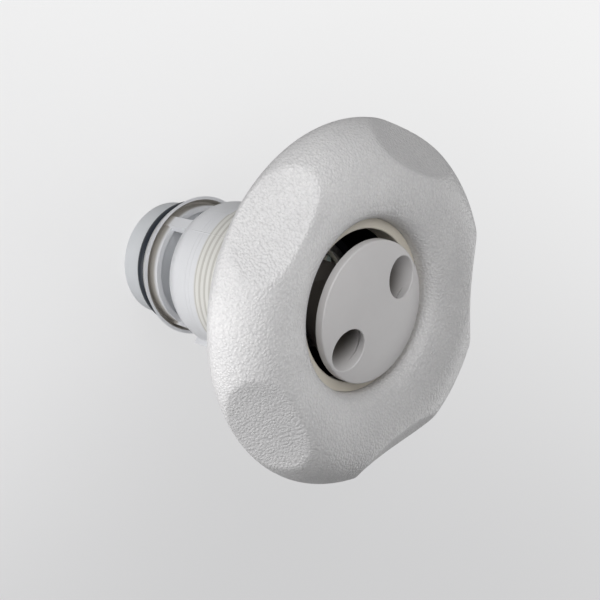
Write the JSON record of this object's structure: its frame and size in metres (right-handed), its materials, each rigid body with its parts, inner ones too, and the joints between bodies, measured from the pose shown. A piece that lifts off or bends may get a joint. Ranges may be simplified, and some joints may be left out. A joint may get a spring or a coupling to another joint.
{
  "type": "hot tub jet",
  "caption": "Hot tub jet insert: scalloped textured trim ring, spinning nozzle with slanted ports, ball bearing, and vented barrel with a sealed tail.",
  "frame": {"origin": "centre of the tail's flat end, where the water comes in", "axes": "+Z along the jet's axis from the tail to the face that the bather sees; X and Y across it"},
  "size_m": [0.0897, 0.09, 0.0805],
  "materials": {
    "textured_white_plastic": "fine pebble texture, satin",
    "cream_plastic": "smooth satin",
    "white_plastic": "smooth satin",
    "dark_plastic": "smooth, dark",
    "grey_plastic": "smooth satin",
    "black_rubber": "smooth rubber",
    "pale_grey_plastic": "smooth satin",
    "natural_nylon": "smooth, slightly waxy",
    "ball_glass": "polished",
    "spring_steel": "bright stainless"
  },
  "bodies": {
    "shell": {"trim_ring": "textured_white_plastic", "retainer_ring": "cream_plastic", "barrel": "white_plastic", "bearing_housing": "dark_plastic", "tail_nozzle": "grey_plastic", "tail_seal": "black_rubber", "outer_race": "natural_nylon", "race_snap_ring": "spring_steel"},
    "rotor": {"rotor": "pale_grey_plastic", "inner_race": "natural_nylon", "wear_washer": "natural_nylon", "stem_clip": "spring_steel"},
    "ball_set": {"ball_cage": "natural_nylon", "bearing_balls": "ball_glass"}
  },
  "joints": [
    {"name": "nozzle_spin", "type": "hinge", "parent": "shell", "child": "rotor", "pos_m": [0, 0, 0.05325], "axis": [0.0385, 0.0428, 0.9983], "continuous": true},
    {"name": "ball_set_spin", "type": "hinge", "parent": "shell", "child": "ball_set", "pos_m": [0, 0, 0.05325], "axis": [0.0193, 0.0214, 0.9996], "continuous": true}
  ],
  "couplings": [
    {"joint": "ball_set_spin", "follows": "nozzle_spin", "ratio": 0.4292}
  ]
}
